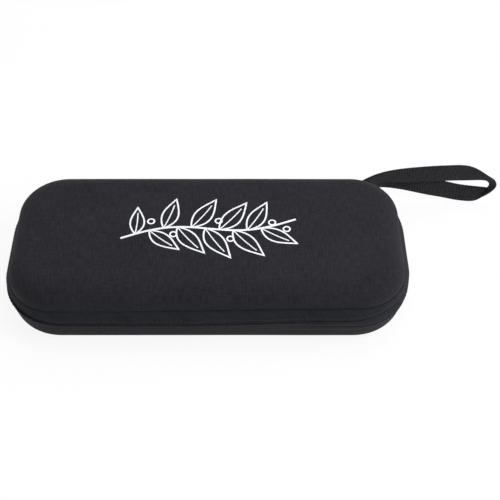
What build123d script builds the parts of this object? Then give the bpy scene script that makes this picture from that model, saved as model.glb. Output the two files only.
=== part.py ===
"""Zipped hard case for a stethoscope: two moulded half shells, a fabric spine, a zip round the
other sides and a webbing hand loop. Millimetres. X runs along the spine, +Y points to the back
and +Z up. The origin is the centre of the underside."""

from build123d import *
import math
import os

os.makedirs("parts", exist_ok=True)

# The whole case, measured round the bulge of the closed zip
case_length = 270.0
case_depth = 122.0
zip_corner_radius = 44.7
zip_height = 25.0  # where the two halves meet

# Moulded halves
base_rim_height = 22.2
base_rim_inset = 1.4
base_corner_radius = 37.0
base_draft = 12.0
base_edge_radius = 12.0
lid_rim_height = 33.6
lid_rim_inset = 4.4
lid_corner_radius = 32.5
lid_draft = 3.0
lid_height = 50.0
lid_edge_radius = 14.5
lid_crown = 1.8

# Layers of a half, from the outside in
cover_thickness = 0.6
foam_thickness = 3.0
lining_thickness = 0.5

# Zip tape and the ribbon that binds its seam
tape_thickness = 0.7
tape_gap = 0.3
binding_drop = 6.0
binding_thickness = 0.7

# Zip teeth, set back from the bulge
tooth_pitch = 3.0
tooth_width = 1.05
tooth_depth = 1.8
tooth_setback = 1.6
tooth_reach = 1.05
tooth_clearance = 0.25
tooth_taper = 4.0
cord_thickness = 0.75

# Spine of soft fabric, and the lower rim beside it that leaves room for the slider
spine_length = 120.0
spine_thickness = 0.9
relief_height = 19.0
relief_depth = 12.3

# Slider, its bail and its puller
slider_length = 11.0
slider_width = 9.0
slider_plate = 1.3
slider_clearance = 0.5
slider_park_gap = 1.0
slider_post_length = 2.6
slider_post_width = 3.0
slider_draw_in = 1.5
slider_nose_length = 3.7
bail_span = 7.4
bail_width = 2.2
bail_thickness = 1.0
puller_length = 24.0
puller_width = 6.8
puller_thickness = 1.4
puller_clearance = 0.35
puller_eye_length = 5.0
puller_hole_radius = 1.4

# Net pocket in the lid
net_thickness = 0.5
net_columns = 24
net_rows = 7
net_cord = 1.8
trim_width = 5.0
trim_thickness = 1.0
hem_width = 9.0
hem_thickness = 1.8
hem_clearance = 0.1
pocket_mouth = 18.0

# Elastic band across the base
band_width = 25.0
band_thickness = 1.2
band_height = 15.0

# Hand loop of webbing, its sewn end and the way it lies
webbing_width = 16.5
webbing_thickness = 1.4
webbing_clearance = 0.3
loop_root_top = 25.6
loop_lowest = 0.2
loop_root_lead = 4.3  # how far the sewn end starts before the corner
loop_root_length = 15.0
loop_drop_start = 3.0  # past the sewn end
loop_drop_end = 87.0
loop_ply_gap = 0.15
loop_root_stagger = 0.5
bartack_width = 1.6
bartack_height = 12.0
bartack_thickness = 0.4
bartack_spacing = 4.6
bartack_inset = 1.6
bartack_corner = 0.5
patch_height = 11.0
patch_drop = 1.0
patch_clear = 2.0
patch_corner = 2.0
patch_gap = 0.1
bend_share = 0.45
crease_radius = 3.0

# Worked out from the above
layers = cover_thickness + foam_thickness + lining_thickness
back_face = case_depth / 2
corner_start = case_length / 2 - zip_corner_radius
spine_end = spine_length / 2
slider_x = -(spine_end + slider_park_gap + slider_length / 2)
tail_end = slider_x + slider_length / 2 - slider_post_length - slider_park_gap
tooth_inner = tooth_setback + tooth_depth
base_seam = zip_height - tape_gap / 2
lid_seam = zip_height + tape_gap / 2
draft_slope = math.tan(math.radians(base_draft))
loop_root_start = corner_start - loop_root_lead
loop_root_end = loop_root_start + loop_root_length


def rim_plan(inset, corner_radius, height):
    """A rounded rectangle inset from the bulge of the zip, as a sketch at one height."""
    with BuildSketch(Plane.XY.offset(height)) as plan:
        RectangleRounded(case_length - 2 * inset, case_depth - 2 * inset, corner_radius)
    return plan.sketch


def base_form(inset):
    """The base as a solid block: drafted walls and a rounded lower edge."""
    with BuildPart() as form:
        add(rim_plan(base_rim_inset + inset, base_corner_radius - inset, base_rim_height))
        extrude(amount=-(base_rim_height - inset), taper=base_draft)
        lower_edges = form.faces().sort_by(Axis.Z)[0].edges()
        fillet(lower_edges, base_edge_radius - inset)
    return form.part


def lid_form(inset):
    """The lid as a solid block: a broad rounded shoulder under a crowned top."""
    crown_radius = back_face**2 / (2 * lid_crown) - inset
    top = lid_height - inset
    side = top - crown_radius + math.sqrt(crown_radius**2 - case_depth**2)
    plan = rim_plan(lid_rim_inset + inset, lid_corner_radius - inset, lid_rim_height)
    with BuildPart() as form:
        add(plan)
        extrude(amount=lid_height - lid_rim_height, taper=lid_draft)
        add(plan)
        extrude(amount=-lid_edge_radius, taper=-lid_draft)
        with BuildSketch(Plane.YZ):
            with BuildLine():
                arc = ThreePointArc((-case_depth, side), (0, top), (case_depth, side))
                Polyline(arc @ 1, (case_depth, 0), (-case_depth, 0), arc @ 0)
            make_face()
        extrude(amount=case_length, both=True, mode=Mode.INTERSECT)
        upper_edges = form.faces().sort_by(Axis.Z)[-1].edges()
        fillet(upper_edges, lid_edge_radius - inset)
        split(bisect_by=Plane.XY.offset(lid_rim_height), keep=Keep.TOP)
    return form.part


def bulge_form(inset, rim_inset, corner_radius, rim_height, seam_height):
    """The solid inside one tape: it spreads from a rim to the bulge at the seam."""
    with BuildPart() as form:
        add(rim_plan(rim_inset + inset, corner_radius - inset, rim_height))
        add(rim_plan(inset, zip_corner_radius - inset, seam_height))
        loft(ruled=True)
    return form.part


def box_between(low, high):
    """A plain block from its lowest to its highest corner."""
    size = [high[i] - low[i] for i in range(3)]
    return Pos(*low) * Box(*size, align=(Align.MIN, Align.MIN, Align.MIN))


print("forms")
base_outer = base_form(0)
base_foam = base_form(cover_thickness)
base_lined = base_form(cover_thickness + foam_thickness)
base_room = base_form(layers)
base_bound = base_form(layers + binding_thickness)
lid_outer = lid_form(0)
lid_foam = lid_form(cover_thickness)
lid_lined = lid_form(cover_thickness + foam_thickness)
lid_room = lid_form(layers)
lid_bound = lid_form(layers + binding_thickness)

# The stretch of the back that the spine and the parked slider take
back_stretch = box_between(
    (-corner_start, back_face - relief_depth, relief_height), (spine_end, case_depth, lid_height)
)


def base_layer(outer, inner):
    """One layer of the base, with its rim lowered along the spine."""
    with BuildPart() as layer:
        add(outer)
        add(inner, mode=Mode.SUBTRACT)
        add(back_stretch, mode=Mode.SUBTRACT)
    return layer.part


print("base half")
with BuildPart() as base_cover:
    add(base_layer(base_outer, base_foam))
base_cover.part.label = "base_cover"

with BuildPart() as base_shell:
    add(base_layer(base_foam, base_lined))
base_shell.part.label = "base_shell"

with BuildPart() as base_lining:
    add(base_layer(base_lined, base_room))
base_lining.part.label = "base_lining"

with BuildPart() as lid_cover:
    add(lid_outer)
    add(lid_foam, mode=Mode.SUBTRACT)
lid_cover.part.label = "lid_cover"

with BuildPart() as lid_shell:
    add(lid_foam)
    add(lid_lined, mode=Mode.SUBTRACT)
lid_shell.part.label = "lid_shell"

with BuildPart() as lid_lining:
    add(lid_lined)
    add(lid_room, mode=Mode.SUBTRACT)
lid_lining.part.label = "lid_lining"


def binding(room, bound, rim_height, rim_inset, corner_radius, toward_seam):
    """The ribbon over a seam: down the lining, past the rim and round the tape's flange."""
    edge = rim_inset + layers
    radius = corner_radius - layers
    with BuildPart() as ribbon:
        add(room)
        add(bound, mode=Mode.SUBTRACT)
        cut = Plane.XY.offset(rim_height - toward_seam * binding_drop)
        split(bisect_by=cut, keep=Keep.TOP if toward_seam > 0 else Keep.BOTTOM)
        add(rim_plan(edge, radius, rim_height))
        extrude(amount=toward_seam * tape_thickness)
        add(rim_plan(edge + binding_thickness, radius - binding_thickness, rim_height))
        extrude(amount=toward_seam * tape_thickness, mode=Mode.SUBTRACT)
    return ribbon.part


print("bindings")
with BuildPart() as base_binding:
    add(binding(base_room, base_bound, base_rim_height, base_rim_inset, base_corner_radius, 1))
    add(back_stretch, mode=Mode.SUBTRACT)
base_binding.part.label = "base_binding"

with BuildPart() as lid_binding:
    add(binding(lid_room, lid_bound, lid_rim_height, lid_rim_inset, lid_corner_radius, -1))
lid_binding.part.label = "lid_binding"


def tape(rim_inset, corner_radius, rim_height, seam_height, cord_height, toward_seam):
    """One zip tape: a flange sewn on the rim, a wall that bulges to the seam, and the cord
    along its edge that carries the teeth."""
    flange_edge = rim_inset + layers
    flange_low, flange_high = sorted([rim_height, rim_height + toward_seam * tape_thickness])
    cord_low, cord_high = sorted([cord_height, cord_height - toward_seam * cord_thickness])
    inner = bulge_form(tape_thickness, rim_inset, corner_radius, rim_height, seam_height)
    with BuildPart() as flange:
        add(inner)
        split(bisect_by=Plane.XY.offset(flange_low), keep=Keep.TOP)
        split(bisect_by=Plane.XY.offset(flange_high), keep=Keep.BOTTOM)
        add(rim_plan(flange_edge, corner_radius - layers, flange_low))
        extrude(amount=tape_thickness, mode=Mode.SUBTRACT)
    with BuildPart() as cord:
        add(inner)
        split(bisect_by=Plane.XY.offset(cord_low), keep=Keep.TOP)
        split(bisect_by=Plane.XY.offset(cord_high), keep=Keep.BOTTOM)
        add(rim_plan(tooth_inner, zip_corner_radius - tooth_inner, cord_low))
        extrude(amount=cord_thickness, mode=Mode.SUBTRACT)
    with BuildPart() as whole:
        add(bulge_form(0, rim_inset, corner_radius, rim_height, seam_height))
        add(inner, mode=Mode.SUBTRACT)
        add(flange.part)
        add(cord.part)
        add(back_stretch, mode=Mode.SUBTRACT)
    return whole.part


print("tapes")
base_cord_top = zip_height - tooth_reach - tooth_clearance
lid_cord_bottom = zip_height + tooth_reach + tooth_clearance
with BuildPart() as base_tape:
    add(tape(base_rim_inset, base_corner_radius, base_rim_height, base_seam, base_cord_top, 1))
base_tape.part.label = "base_tape"

with BuildPart() as lid_tape:
    add(tape(lid_rim_inset, lid_corner_radius, lid_rim_height, lid_seam, lid_cord_bottom, -1))
lid_tape.part.label = "lid_tape"

# Where the zip runs: from the slider's stretch round the ends and the front to the spine
chain_inset = tooth_setback + tooth_depth / 2
chain_x = case_length / 2 - chain_inset
chain_y = back_face - chain_inset
with BuildLine() as chain:
    FilletPolyline(
        (tail_end, chain_y),
        (-chain_x, chain_y),
        (-chain_x, -chain_y),
        (chain_x, -chain_y),
        (chain_x, chain_y),
        (spine_end, chain_y),
        radius=zip_corner_radius - chain_inset,
    )


def tooth_places(phase, in_tail, height):
    """Evenly spaced places along the chain, turned square to it, in the tail or past it."""
    path = chain.wires()[0]
    count = int(path.length / tooth_pitch)
    tail_share = (corner_start + tail_end + tooth_width / 2) / path.length
    places = []
    for i in range(count):
        share = (i + phase) / count
        if (share < tail_share) == in_tail:
            point = path.position_at(share) + Vector(0, 0, height)
            along = path.tangent_at(share)
            turn = math.degrees(math.atan2(along.Y, along.X))
            places.append(Location(point, (0, 0, turn)))
    return places


# One tooth, standing on its cord with its tip past the seam, and the same hanging down
print("teeth")
tooth_height = 2 * tooth_reach + tooth_clearance
with BuildPart() as tooth:
    with BuildSketch():
        Rectangle(tooth_width, tooth_depth)
    extrude(amount=tooth_height, taper=tooth_taper)
with BuildPart() as hanging_tooth:
    add(tooth.part, rotation=(180, 0, 0))


def tooth_row(name, shape, places):
    """Separate teeth, each at its own place."""
    row = Compound(children=[shape.solid().moved(place) for place in places])
    row.label = name
    return row


base_teeth = tooth_row("base_teeth", tooth.part, tooth_places(0.25, False, base_cord_top))
lid_teeth = tooth_row("lid_teeth", hanging_tooth.part, tooth_places(0.75, False, lid_cord_bottom))


def back_profile(rim_inset, rim_height, seam_height, cord_height, toward_seam):
    """The tape's section at the straight back: flange, wall and cord, as corner points."""

    def wall_y(height, inset):
        share = (height - seam_height) / (rim_height - seam_height)
        return back_face - inset - share * rim_inset

    flange_top = rim_height + toward_seam * tape_thickness
    cord_root = cord_height - toward_seam * cord_thickness
    flange_y = back_face - rim_inset - layers
    return [
        (flange_y, rim_height),
        (wall_y(rim_height, 0), rim_height),
        (wall_y(seam_height, 0), seam_height),
        (wall_y(seam_height, tape_thickness), seam_height),
        (wall_y(cord_height, tape_thickness), cord_height),
        (back_face - tooth_inner, cord_height),
        (back_face - tooth_inner, cord_root),
        (wall_y(cord_root, tape_thickness), cord_root),
        (wall_y(flange_top, tape_thickness), flange_top),
        (flange_y, flange_top),
    ]


relief_inset = base_rim_inset + (base_rim_height - relief_height) * draft_slope
tail_length = tail_end + corner_start


def zip_tail(points, shape, places):
    """The straight stretch of one tape beside the slider, with its teeth."""
    with BuildPart() as tail:
        with BuildSketch(Plane.YZ.offset(-corner_start)):
            Polygon(*points, align=None)
        extrude(amount=tail_length)
        for place in places:
            add(shape.moved(place))
    return tail.part


print("tails and spine")
base_points = back_profile(relief_inset, relief_height, base_seam, base_cord_top, 1)
lid_points = back_profile(lid_rim_inset, lid_rim_height, lid_seam, lid_cord_bottom, -1)
with BuildPart() as base_zip_tail:
    add(zip_tail(base_points, tooth.part, tooth_places(0.25, True, base_cord_top)))
base_zip_tail.part.label = "base_zip_tail"

with BuildPart() as lid_zip_tail:
    add(zip_tail(lid_points, hanging_tooth.part, tooth_places(0.75, True, lid_cord_bottom)))
lid_zip_tail.part.label = "lid_zip_tail"

# The spine is one strip from rim to rim, with the same bulge as the tapes beside it
with BuildPart() as spine_strip:
    with BuildSketch(Plane.YZ):
        lower_inner, lower_outer = back_face - relief_inset - layers, back_face - relief_inset
        upper_inner, upper_outer = back_face - lid_rim_inset - layers, back_face - lid_rim_inset
        Polygon(
            (lower_inner, relief_height),
            (lower_outer, relief_height),
            (back_face, zip_height),
            (upper_outer, lid_rim_height),
            (upper_inner, lid_rim_height),
            (upper_inner, lid_rim_height - spine_thickness),
            (upper_outer - spine_thickness, lid_rim_height - spine_thickness),
            (back_face - spine_thickness, zip_height),
            (lower_outer - spine_thickness, relief_height + spine_thickness),
            (lower_inner, relief_height + spine_thickness),
            align=None,
        )
    extrude(amount=spine_end, both=True)
spine_strip.part.label = "spine_strip"

print("slider and puller")
# Channel: the plates stand off the tape outside and the teeth inside
outer_plate_y = back_face + slider_clearance
inner_plate_y = back_face - tooth_inner - slider_clearance
slider_depth = outer_plate_y - inner_plate_y
nose_x = slider_x + slider_length / 2
tail_x = slider_x - slider_length / 2
with BuildPart() as slider_body:
    # Two plates, broad at the nose and drawn in at the tail
    for plate_y, thickness in [(outer_plate_y, slider_plate), (inner_plate_y, -slider_plate)]:
        with BuildSketch(Plane.XZ.offset(-plate_y)):
            with BuildLine():
                half_nose = slider_width / 2
                half_tail = half_nose - slider_draw_in
                Polyline(
                    (tail_x, zip_height - half_tail),
                    (nose_x - slider_nose_length, zip_height - half_nose),
                    (nose_x, zip_height - half_nose),
                    (nose_x, zip_height + half_nose),
                    (nose_x - slider_nose_length, zip_height + half_nose),
                    (tail_x, zip_height + half_tail),
                    close=True,
                )
            make_face()
        extrude(amount=-thickness)
    # The wedge at the nose that parts the teeth
    with BuildSketch(Plane.XZ.offset(-inner_plate_y)):
        with Locations((nose_x - slider_post_length / 2, zip_height)):
            Rectangle(slider_post_length, slider_post_width)
    extrude(amount=-slider_depth)
    # The bail over the outer plate
    bail_root = outer_plate_y + slider_plate
    bail_top = bail_root + puller_thickness + 2 * puller_clearance + bail_thickness
    with BuildSketch(Plane.XY.offset(zip_height)):
        with BuildLine():
            Polyline(
                (slider_x - bail_span / 2, bail_root),
                (slider_x - bail_span / 2 + bail_thickness, bail_top),
                (slider_x + bail_span / 2 - bail_thickness, bail_top),
                (slider_x + bail_span / 2, bail_root),
                (slider_x + bail_span / 2 - bail_thickness, bail_root),
                (slider_x + bail_span / 2 - 2 * bail_thickness, bail_top - bail_thickness),
                (slider_x - bail_span / 2 + 2 * bail_thickness, bail_top - bail_thickness),
                (slider_x - bail_span / 2 + bail_thickness, bail_root),
                close=True,
            )
        make_face()
    extrude(amount=bail_width / 2, both=True)
slider_body.part.label = "slider_body"

# The puller lies along the spine with its crossbar under the bail
puller_y = bail_root + puller_clearance + puller_thickness / 2
with BuildPart() as puller:
    with BuildSketch(Plane.XZ.offset(-(puller_y - puller_thickness / 2))):
        with Locations((slider_x + (puller_length - puller_thickness) / 2, zip_height)):
            RectangleRounded(puller_length, puller_width, puller_thickness)
        with Locations((slider_x + puller_thickness / 2 + puller_eye_length / 2, zip_height)):
            Rectangle(puller_eye_length, bail_width + 2 * puller_clearance, mode=Mode.SUBTRACT)
        with Locations((slider_x + puller_length - puller_width / 2 - puller_thickness, zip_height)):
            Circle(puller_hole_radius, mode=Mode.SUBTRACT)
    extrude(amount=-puller_thickness)
puller.part.label = "puller"

print("pocket")
bound_edge = lid_rim_inset + layers + binding_thickness
bound_radius = lid_corner_radius - layers - binding_thickness
trim_low = lid_rim_height - trim_thickness
hem_low = trim_low - (hem_thickness - trim_thickness - net_thickness)
mouth_y = -(back_face - bound_edge - pocket_mouth)
net_low = trim_low + trim_thickness
with BuildPart() as pocket_trim:
    add(rim_plan(bound_edge, bound_radius, trim_low))
    extrude(amount=trim_thickness)
    add(rim_plan(bound_edge + trim_width, bound_radius - trim_width, trim_low))
    extrude(amount=trim_thickness, mode=Mode.SUBTRACT)
    with BuildSketch(Plane.XY.offset(trim_low)):
        with Locations((0, mouth_y + hem_width)):
            Rectangle(case_length, case_depth, align=(Align.CENTER, Align.MAX))
    extrude(amount=trim_thickness, mode=Mode.SUBTRACT)
pocket_trim.part.label = "pocket_trim"

with BuildPart() as pocket_hem:
    add(rim_plan(bound_edge + hem_clearance, bound_radius - hem_clearance, hem_low))
    extrude(amount=hem_thickness)
    with BuildSketch(Plane.XY.offset(hem_low)):
        with Locations((0, mouth_y + hem_width / 2)):
            Rectangle(case_length, hem_width)
    extrude(amount=hem_thickness, mode=Mode.INTERSECT)
pocket_hem.part.label = "pocket_hem"

net_back = back_face - bound_edge - trim_width / 2
net_front = mouth_y + hem_width
net_side = case_length / 2 - bound_edge - trim_width / 2
gap_span = 2 * (net_side - trim_width)
gap_rise = net_back - net_front - 2 * trim_width
column_step = gap_span / net_columns
row_step = gap_rise / net_rows
with BuildPart() as pocket_net:
    with BuildSketch(Plane.XY.offset(net_low)):
        RectangleRounded(2 * net_side, 2 * net_back, bound_radius - trim_width / 2)
        with Locations((0, net_front)):
            Rectangle(case_length, case_depth, align=(Align.CENTER, Align.MAX), mode=Mode.SUBTRACT)
        with Locations((0, (net_front + net_back) / 2)):
            with GridLocations(column_step, row_step, net_columns, net_rows):
                Rectangle(column_step - net_cord, row_step - net_cord, mode=Mode.SUBTRACT)
    extrude(amount=net_thickness)
pocket_net.part.label = "pocket_net"

print("band and loop")
with BuildPart() as holding_band:
    add(base_bound)
    with BuildSketch(Plane.XY.offset(band_height)):
        Rectangle(band_width, case_depth)
    extrude(amount=band_thickness, mode=Mode.INTERSECT)
holding_band.part.label = "holding_band"

# The way the loop lies, seen from above: out along the upper run and back along the lower
run_gap = webbing_thickness + loop_ply_gap
front_root_y = back_face + webbing_clearance + webbing_thickness / 2
back_root_y = front_root_y + run_gap
loop_bends = [  # from the end of the sewn stretch and the back face
    (20, 13.8),
    (40, 22.2),
    (67, 29.3),
    (88, 32.2),
    (111.2, 20.4),
    (93.5, 10.2),
    (38, 16.8),
    (20, 11.7),
]
loop_route = [
    (loop_root_start, back_root_y),
    (loop_root_end, back_root_y),
    *[(loop_root_end + along, back_face + out) for along, out in loop_bends],
    (loop_root_end + loop_root_stagger, front_root_y),
    (loop_root_start, front_root_y),
]


def bend_radii(route):
    """The largest bend that fits each corner of a route, but a crease at the sharp one."""
    radii = []
    for before, corner, after in zip(route, route[1:], route[2:]):
        arriving = Vector(*corner) - Vector(*before)
        leaving = Vector(*after) - Vector(*corner)
        turn = math.radians(arriving.get_angle(leaving))
        run = min(arriving.length, leaving.length)
        bend = bend_share * run / math.tan(turn / 2)
        radii.append(min(bend, crease_radius) if turn > math.pi / 2 else bend)
    return radii


drop_from = loop_root_end + loop_drop_start
drop_to = loop_root_end + loop_drop_end
root_bottom = loop_root_top - webbing_width
far_top = loop_lowest + webbing_width
past_loop = drop_to + case_length
with BuildPart() as strap_webbing:
    with BuildSketch():
        with BuildLine():
            FilletPolyline(*loop_route, radius=bend_radii(loop_route))
        trace(line_width=webbing_thickness)
    extrude(amount=loop_root_top)
    with BuildSketch(Plane.XZ):
        with BuildLine():
            Spline((drop_from, loop_root_top), (drop_to, far_top), tangents=((1, 0), (1, 0)))
            Polyline(
                (drop_to, far_top),
                (past_loop, far_top),
                (past_loop, loop_lowest),
                (drop_to, loop_lowest),
            )
            Spline((drop_to, loop_lowest), (drop_from, root_bottom), tangents=((-1, 0), (-1, 0)))
            Polyline(
                (drop_from, root_bottom),
                (0, root_bottom),
                (0, loop_root_top),
                (drop_from, loop_root_top),
            )
        make_face()
    extrude(amount=case_depth, both=True, mode=Mode.INTERSECT)
strap_webbing.part.label = "strap_webbing"

# The stitched bars that hold the webbing's ends together, and the patch behind them
webbing_middle = loop_root_top - webbing_width / 2
with BuildPart() as strap_bartack:
    with BuildSketch(Plane.XZ.offset(-(back_root_y + webbing_thickness / 2))):
        with Locations((loop_root_start + bartack_inset + bartack_spacing / 2, webbing_middle)):
            with GridLocations(bartack_spacing, 0, 2, 1):
                RectangleRounded(bartack_width, bartack_height, bartack_corner)
    extrude(amount=-bartack_thickness)
strap_bartack.part.label = "strap_bartack"

with BuildPart() as strap_patch:
    with BuildSketch(Plane.XZ.offset(-(back_face - layers))):
        with Locations((loop_root_start, webbing_middle - patch_drop)):
            RectangleRounded(
                loop_root_length - patch_clear,
                patch_height,
                patch_corner,
                align=(Align.MIN, Align.CENTER),
            )
    extrude(amount=-(layers + webbing_clearance - patch_gap))
    add(base_outer, mode=Mode.SUBTRACT)
strap_patch.part.label = "strap_patch"

print("writing")
pieces = [
    base_cover,
    base_shell,
    base_lining,
    base_binding,
    base_tape,
    base_zip_tail,
    lid_cover,
    lid_shell,
    lid_lining,
    lid_binding,
    lid_tape,
    lid_zip_tail,
    spine_strip,
    slider_body,
    puller,
    pocket_trim,
    pocket_hem,
    pocket_net,
    holding_band,
    strap_webbing,
    strap_bartack,
    strap_patch,
]
for piece in pieces:
    export_step(piece.part, f"parts/{piece.part.label}.step")
for row in [base_teeth, lid_teeth]:
    export_step(row, f"parts/{row.label}.step")
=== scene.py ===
import math

import bmesh
import bpy
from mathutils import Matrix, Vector, noise

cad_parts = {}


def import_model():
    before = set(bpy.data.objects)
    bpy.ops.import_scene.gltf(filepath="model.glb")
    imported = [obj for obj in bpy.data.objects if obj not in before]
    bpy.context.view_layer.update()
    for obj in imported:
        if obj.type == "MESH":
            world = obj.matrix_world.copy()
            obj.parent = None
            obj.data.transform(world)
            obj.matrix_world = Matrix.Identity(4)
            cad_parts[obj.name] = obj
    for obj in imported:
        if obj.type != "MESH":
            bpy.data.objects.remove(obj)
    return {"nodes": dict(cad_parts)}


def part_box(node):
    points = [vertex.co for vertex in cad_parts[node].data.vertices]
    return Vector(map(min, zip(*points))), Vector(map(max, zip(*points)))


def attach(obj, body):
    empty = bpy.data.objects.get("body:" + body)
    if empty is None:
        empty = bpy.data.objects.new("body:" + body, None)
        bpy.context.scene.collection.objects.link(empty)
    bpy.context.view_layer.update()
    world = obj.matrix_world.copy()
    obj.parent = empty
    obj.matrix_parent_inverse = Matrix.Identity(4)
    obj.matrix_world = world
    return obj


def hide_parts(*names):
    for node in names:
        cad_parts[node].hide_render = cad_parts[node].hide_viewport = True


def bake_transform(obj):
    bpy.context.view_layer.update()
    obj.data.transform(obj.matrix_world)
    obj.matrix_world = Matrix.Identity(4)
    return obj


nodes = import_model()["nodes"]
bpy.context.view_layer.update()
mm = 0.001
scene = bpy.context.scene
print("frame loaded")

# Sizes that several pieces share, taken from the frame where it has them
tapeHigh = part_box("base_tape")[1]
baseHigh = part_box("base_cover")[1]
lidLow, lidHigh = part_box("lid_cover")
spineLow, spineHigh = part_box("spine_strip")
tailLow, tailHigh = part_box("base_zip_tail")

halfLength = tapeHigh.x
halfDepth = tapeHigh.y
baseInset = halfLength - baseHigh.x
lidInset = halfLength - lidHigh.x
baseRim = baseHigh.z
lidRim = lidLow.z
lidTop = lidHigh.z
baseSeam = tapeHigh.z
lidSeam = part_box("lid_tape")[0].z
seamHeight = (baseSeam + lidSeam) / 2
reliefRim = tailLow.z  # the base's rim is lowered to here behind the spine and the slider

halves = {
    "bulgeRadius": 44.7 * mm,
    "lidCrown": 1.8 * mm,
    "coverThickness": 0.6 * mm,
    "layers": 4.1 * mm,  # cover, foam and lining together
}
# inset and rim give the half's edge, toward says which way the seam lies from it
sides = {
    "lid": {"inset": lidInset, "rim": lidRim, "seam": lidSeam, "toward": -1, "radius": 32.5 * mm,
            "draft": math.radians(3), "edge": 14.5 * mm},
    "base": {"inset": baseInset, "rim": baseRim, "seam": baseSeam, "toward": 1, "radius": 37.0 * mm,
             "draft": math.radians(12), "edge": 12.0 * mm},
}
reliefInset = baseInset + (baseRim - reliefRim) * math.tan(sides["base"]["draft"])
relief = dict(sides["base"], inset=reliefInset, rim=reliefRim)  # the base where its rim is lowered
stationSteps = {"corner": 22, "front": 100, "side": 14, "back": 50}


def srgb(red, green, blue):
    # 0-255 as a screen shows it, to the linear colour that the shader wants
    parts = []
    for value in (red, green, blue):
        share = value / 255
        parts.append(share / 12.92 if share <= 0.04045 else ((share + 0.055) / 1.055) ** 2.4)
    return tuple(parts)


def smooth(share):
    share = max(0.0, min(1.0, share))
    return share * share * (3 - 2 * share)


def mixed(a, b, share):
    return a + (b - a) * share


def addObject(name, data):
    made = bpy.data.objects.new(name, data)
    scene.collection.objects.link(made)
    return made


def editMesh(mesh, change):
    # Hands the mesh to change, which works on it in place
    work = bmesh.new()
    work.from_mesh(mesh)
    change(work)
    work.to_mesh(mesh)
    work.free()
    mesh.update()


def runsOf(line):
    # How far along the line each point is, by the points' first two numbers
    runs = [0.0]
    for before, here in zip(line, line[1:]):
        runs.append(runs[-1] + math.hypot(here[0] - before[0], here[1] - before[1]))
    return runs


def startMaterial(name, colour, roughness):
    material = bpy.data.materials.new(name)
    material.use_nodes = True
    shader = material.node_tree.nodes["Principled BSDF"]
    shader.inputs["Base Color"].default_value = (*colour, 1)
    shader.inputs["Roughness"].default_value = roughness
    return material, material.node_tree, shader


def addNode(tree, kind, **settings):
    # Settings are the node's own or its inputs' values, by name
    node = tree.nodes.new(kind)
    for key, value in settings.items():
        if hasattr(node, key):
            setattr(node, key, value)
        else:
            node.inputs[key].default_value = value
    return node


def wire(tree, output, socket):
    tree.links.new(output, socket)


def calculate(tree, operation, first, second=None, third=None):
    node = addNode(tree, "ShaderNodeMath", operation=operation)
    for socket, value in zip(node.inputs, (first, second, third)):
        if isinstance(value, (int, float)):
            socket.default_value = value
        elif value is not None:
            wire(tree, value, socket)
    return node.outputs[0]


def stretchedNoise(tree, point, scale, detail=2.0):
    mapping = addNode(tree, "ShaderNodeMapping", Scale=scale)
    texture = addNode(tree, "ShaderNodeTexNoise", Scale=1.0, Detail=detail)
    wire(tree, point, mapping.inputs["Vector"])
    wire(tree, mapping.outputs[0], texture.inputs["Vector"])
    return texture.outputs["Fac"]


def tintBetween(tree, fac, dark, light, socket):
    mix = addNode(tree, "ShaderNodeMix", data_type="RGBA")
    tints = [tint for tint in mix.inputs if tint.type == "RGBA"]
    tints[0].default_value = (*dark, 1)
    tints[1].default_value = (*light, 1)
    wire(tree, fac, mix.inputs[0])
    wire(tree, [tint for tint in mix.outputs if tint.type == "RGBA"][0], socket)


def addBump(tree, shader, height, distance):
    bump = addNode(tree, "ShaderNodeBump", Strength=1.0, Distance=distance)
    wire(tree, height, bump.inputs["Height"])
    wire(tree, bump.outputs[0], shader.inputs["Normal"])


def waveRows(tree, coordinate, pitch):
    return calculate(tree, "SINE", calculate(tree, "MULTIPLY", coordinate, 2 * math.pi / pitch))


def wovenMaterial(name, weave):
    # Warp and weft as two crossed rows of waves, with streaks and clouds in the threads' tint, and painted
    # rib shade in the tint: darker stripes in the rib grooves, lighter on the crests
    material, tree, shader = startMaterial(name, weave["light"], weave["roughness"])
    point = addNode(tree, "ShaderNodeUVMap", uv_map="cloth").outputs["UV"]
    parts = addNode(tree, "ShaderNodeSeparateXYZ")
    wire(tree, point, parts.inputs[0])
    warp = waveRows(tree, parts.outputs[0], weave["warpPitch"])
    weft = waveRows(tree, parts.outputs[1], weave["weftPitch"])
    crossed = calculate(tree, "MULTIPLY", warp, weft)
    fine, slow, flat = weave["streakScale"]
    along = stretchedNoise(tree, point, (fine, slow, flat))
    across = stretchedNoise(tree, point, (slow, fine, flat))
    cloud = stretchedNoise(tree, point, weave["cloudScale"], 3.0)
    # Painted rib shade: the wave is set a quarter pitch back so the tint is darkest in the grooves and
    # lightest on the crests of the webbing's modelled ribs; on the tapes it stands in for ribs that are not
    # modelled
    ahead = calculate(tree, "ADD", parts.outputs[0], -weave["ribPitch"] / 4)
    rib = waveRows(tree, ahead, weave["ribPitch"])
    mottled = weave["ground"]
    for pattern, share in ((along, "streakShare"), (across, "crossShare"), (cloud, "cloudShare"),
                           (crossed, "weaveShare"), (rib, "ribShadeShare")):
        mottled = calculate(tree, "MULTIPLY_ADD", pattern, weave[share], mottled)
    tintBetween(tree, mottled, weave["dark"], weave["light"], shader.inputs["Base Color"])
    height = calculate(tree, "MULTIPLY_ADD", along, weave["streakRelief"], crossed)
    addBump(tree, shader, height, weave["relief"])
    shader.inputs["Specular IOR Level"].default_value = weave["specular"]
    shader.inputs["Sheen Weight"].default_value = weave["sheen"]
    shader.inputs["Sheen Roughness"].default_value = weave["sheenRoughness"]
    return material


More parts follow.
